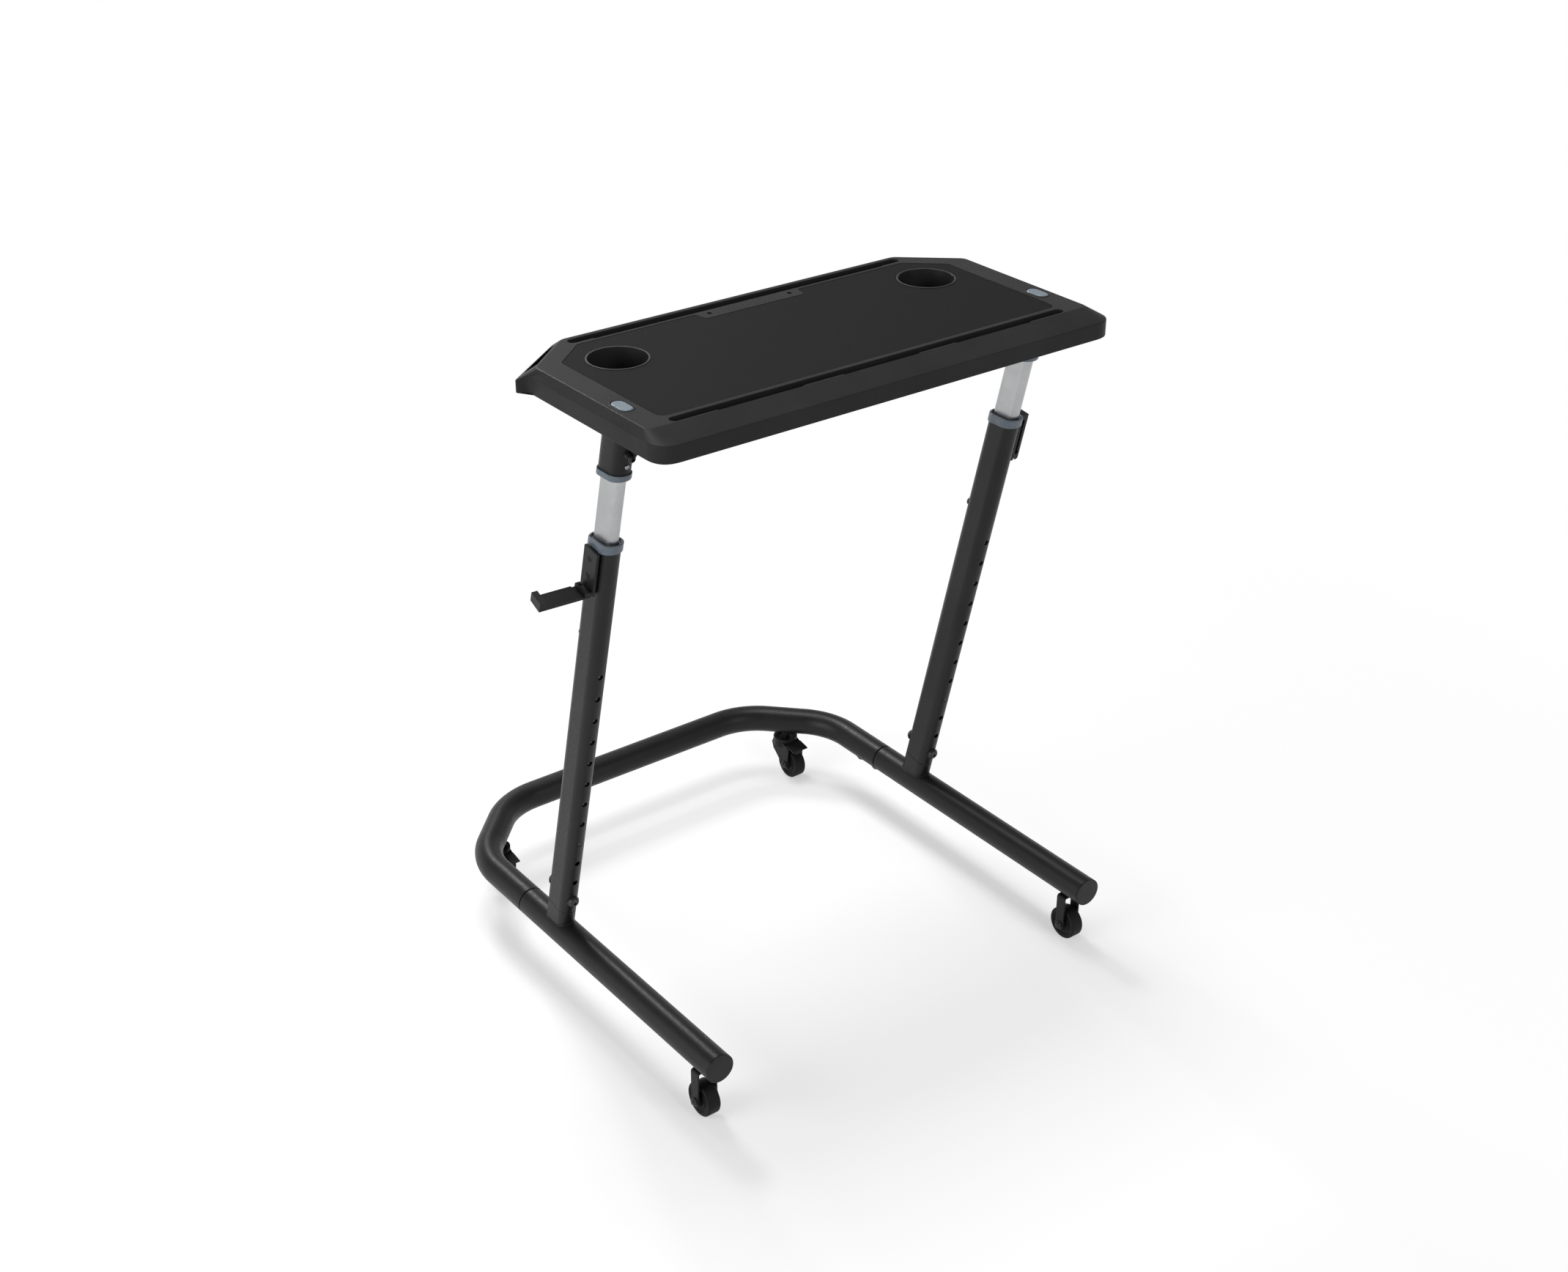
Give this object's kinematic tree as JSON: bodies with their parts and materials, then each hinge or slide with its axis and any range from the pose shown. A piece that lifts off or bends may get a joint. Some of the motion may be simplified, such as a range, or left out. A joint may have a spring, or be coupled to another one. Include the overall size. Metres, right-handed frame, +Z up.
{
  "type": "bike trainer desk",
  "caption": "Height-adjustable desk on casters for riding a trainer: moulded top with a mat, cup holders and device slots, on leaning telescopic legs over a U-shaped tube base.",
  "frame": {"origin": "on the floor, below the middle of the bounding box", "axes": "+Z up, +X to the right side of the desk as seen from its open front, -Y towards the open front where the rider sits"},
  "size_m": [0.8438, 0.7782, 1.0194],
  "materials": {
    "tabletop_plastic": "fine moulded grain, dark grey",
    "mat_rubber": "matte, darker grey",
    "dark_plastic": "matte black",
    "blue_grey_plastic": "satin blue grey",
    "button_plastic": "satin light blue grey",
    "black_steel": "satin black powder coat",
    "silver_tube": "satin anodised",
    "black_bolt": "blackened steel",
    "plain_steel": "bright steel",
    "tyre_rubber": "semi-matte black"
  },
  "bodies": {
    "base": {"rear_loop": "black_steel", "side_rail_left": "black_steel", "rail_end_cap_left": "dark_plastic", "rail_bolt_front_left": "black_bolt", "rail_bolt_rear_left": "black_bolt", "outer_leg_left": "black_steel", "leg_bolt_left": "black_bolt", "guide_screw_left": "black_bolt", "lower_collar_left": "blue_grey_plastic", "hook_plate_left": "dark_plastic", "hook_pin_left": "plain_steel", "front_fork_left": "black_steel", "front_axle_left": "black_bolt", "caster_stem_left": "black_bolt", "side_rail_right": "black_steel", "rail_end_cap_right": "dark_plastic", "rail_bolt_front_right": "black_bolt", "rail_bolt_rear_right": "black_bolt", "outer_leg_right": "black_steel", "leg_bolt_right": "black_bolt", "guide_screw_right": "black_bolt", "lower_collar_right": "blue_grey_plastic", "hook_plate_right": "dark_plastic", "hook_pin_right": "plain_steel", "front_fork_right": "black_steel", "front_axle_right": "black_bolt", "caster_stem_right": "black_bolt"},
    "desk": {"tabletop": "tabletop_plastic", "mat": "mat_rubber", "underside_panel": "dark_plastic", "cup_holder_left": "dark_plastic", "top_bracket_left": "black_steel", "upper_collar_left": "blue_grey_plastic", "inner_leg_left": "silver_tube", "leg_shoe_left": "dark_plastic", "top_bolt_left": "black_bolt", "cup_holder_right": "dark_plastic", "top_bracket_right": "black_steel", "upper_collar_right": "blue_grey_plastic", "inner_leg_right": "silver_tube", "leg_shoe_right": "dark_plastic", "top_bolt_right": "black_bolt"},
    "button_left": {"button_left": "button_plastic"},
    "release_rod_left": {"release_rod_left": "plain_steel"},
    "lock_pin_left": {"lock_pin_left": "plain_steel"},
    "hook_arm_left": {"hook_arm_left": "dark_plastic"},
    "front_wheel_left": {"front_wheel_left": "tyre_rubber"},
    "caster_left": {"caster_fork_left": "black_steel", "caster_axle_left": "black_bolt"},
    "caster_wheel_left": {"caster_wheel_left": "tyre_rubber"},
    "brake_pedal_left": {"brake_pedal_left": "black_steel"},
    "button_right": {"button_right": "button_plastic"},
    "release_rod_right": {"release_rod_right": "plain_steel"},
    "lock_pin_right": {"lock_pin_right": "plain_steel"},
    "hook_arm_right": {"hook_arm_right": "dark_plastic"},
    "front_wheel_right": {"front_wheel_right": "tyre_rubber"},
    "caster_right": {"caster_fork_right": "black_steel", "caster_axle_right": "black_bolt"},
    "caster_wheel_right": {"caster_wheel_right": "tyre_rubber"},
    "brake_pedal_right": {"brake_pedal_right": "black_steel"}
  },
  "joints": [
    {"name": "desk_height", "type": "slide", "parent": "base", "child": "desk", "axis": [0, -0.2392, 0.971], "range_m": [-0.08, 0.32]},
    {"name": "button_left_press", "type": "slide", "parent": "desk", "child": "button_left", "axis": [0, 0, -1], "range_m": [0, 0.005], "stiffness_N_per_m": 600, "springref_m": -0.006},
    {"name": "release_rod_left_slide", "type": "slide", "parent": "desk", "child": "release_rod_left", "axis": [0, 0.2392, -0.971], "range_m": [0, 0.0053]},
    {"name": "lock_pin_left_slide", "type": "slide", "parent": "desk", "child": "lock_pin_left", "axis": [0, 0.971, 0.2392], "range_m": [0, 0.0051]},
    {"name": "hook_left_fold", "type": "hinge", "parent": "base", "child": "hook_arm_left", "pos_m": [-0.34534, -0.13111, 0.74508], "axis": [0, 0.971, 0.2392], "range_deg": [0, 87.5]},
    {"name": "front_wheel_left_spin", "type": "hinge", "parent": "base", "child": "front_wheel_left", "pos_m": [-0.31804, -0.3488, 0.026], "axis": [1, 0, 0], "continuous": true},
    {"name": "caster_left_swivel", "type": "hinge", "parent": "base", "child": "caster_left", "pos_m": [-0.26184, 0.30985, 0.07], "axis": [0, 0, 1], "continuous": true},
    {"name": "caster_wheel_left_spin", "type": "hinge", "parent": "caster_left", "child": "caster_wheel_left", "pos_m": [-0.26184, 0.29035, 0.026], "axis": [1, 0, 0], "continuous": true},
    {"name": "brake_pedal_left_tilt", "type": "hinge", "parent": "caster_left", "child": "brake_pedal_left", "pos_m": [-0.26184, 0.28485, 0.0585], "axis": [1, 0, 0], "range_deg": [0, 8]},
    {"name": "button_right_press", "type": "slide", "parent": "desk", "child": "button_right", "axis": [0, 0, -1], "range_m": [0, 0.005], "stiffness_N_per_m": 600, "springref_m": -0.006},
    {"name": "release_rod_right_slide", "type": "slide", "parent": "desk", "child": "release_rod_right", "axis": [0, 0.2392, -0.971], "range_m": [0, 0.0053]},
    {"name": "lock_pin_right_slide", "type": "slide", "parent": "desk", "child": "lock_pin_right", "axis": [0, 0.971, 0.2392], "range_m": [0, 0.0051]},
    {"name": "hook_right_fold", "type": "hinge", "parent": "base", "child": "hook_arm_right", "pos_m": [0.40686, -0.13111, 0.74508], "axis": [0, 0.971, 0.2392], "range_deg": [0, 87.5]},
    {"name": "front_wheel_right_spin", "type": "hinge", "parent": "base", "child": "front_wheel_right", "pos_m": [0.37956, -0.3488, 0.026], "axis": [1, 0, 0], "continuous": true},
    {"name": "caster_right_swivel", "type": "hinge", "parent": "base", "child": "caster_right", "pos_m": [0.32336, 0.30985, 0.07], "axis": [0, 0, 1], "continuous": true},
    {"name": "caster_wheel_right_spin", "type": "hinge", "parent": "caster_right", "child": "caster_wheel_right", "pos_m": [0.32336, 0.29035, 0.026], "axis": [1, 0, 0], "continuous": true},
    {"name": "brake_pedal_right_tilt", "type": "hinge", "parent": "caster_right", "child": "brake_pedal_right", "pos_m": [0.32336, 0.28485, 0.0585], "axis": [1, 0, 0], "range_deg": [0, 8]}
  ],
  "couplings": [
    {"joint": "release_rod_left_slide", "follows": "button_left_press", "ratio": 1.03},
    {"joint": "lock_pin_left_slide", "follows": "button_left_press", "ratio": 1},
    {"joint": "release_rod_right_slide", "follows": "button_right_press", "ratio": 1.03},
    {"joint": "lock_pin_right_slide", "follows": "button_right_press", "ratio": 1}
  ]
}
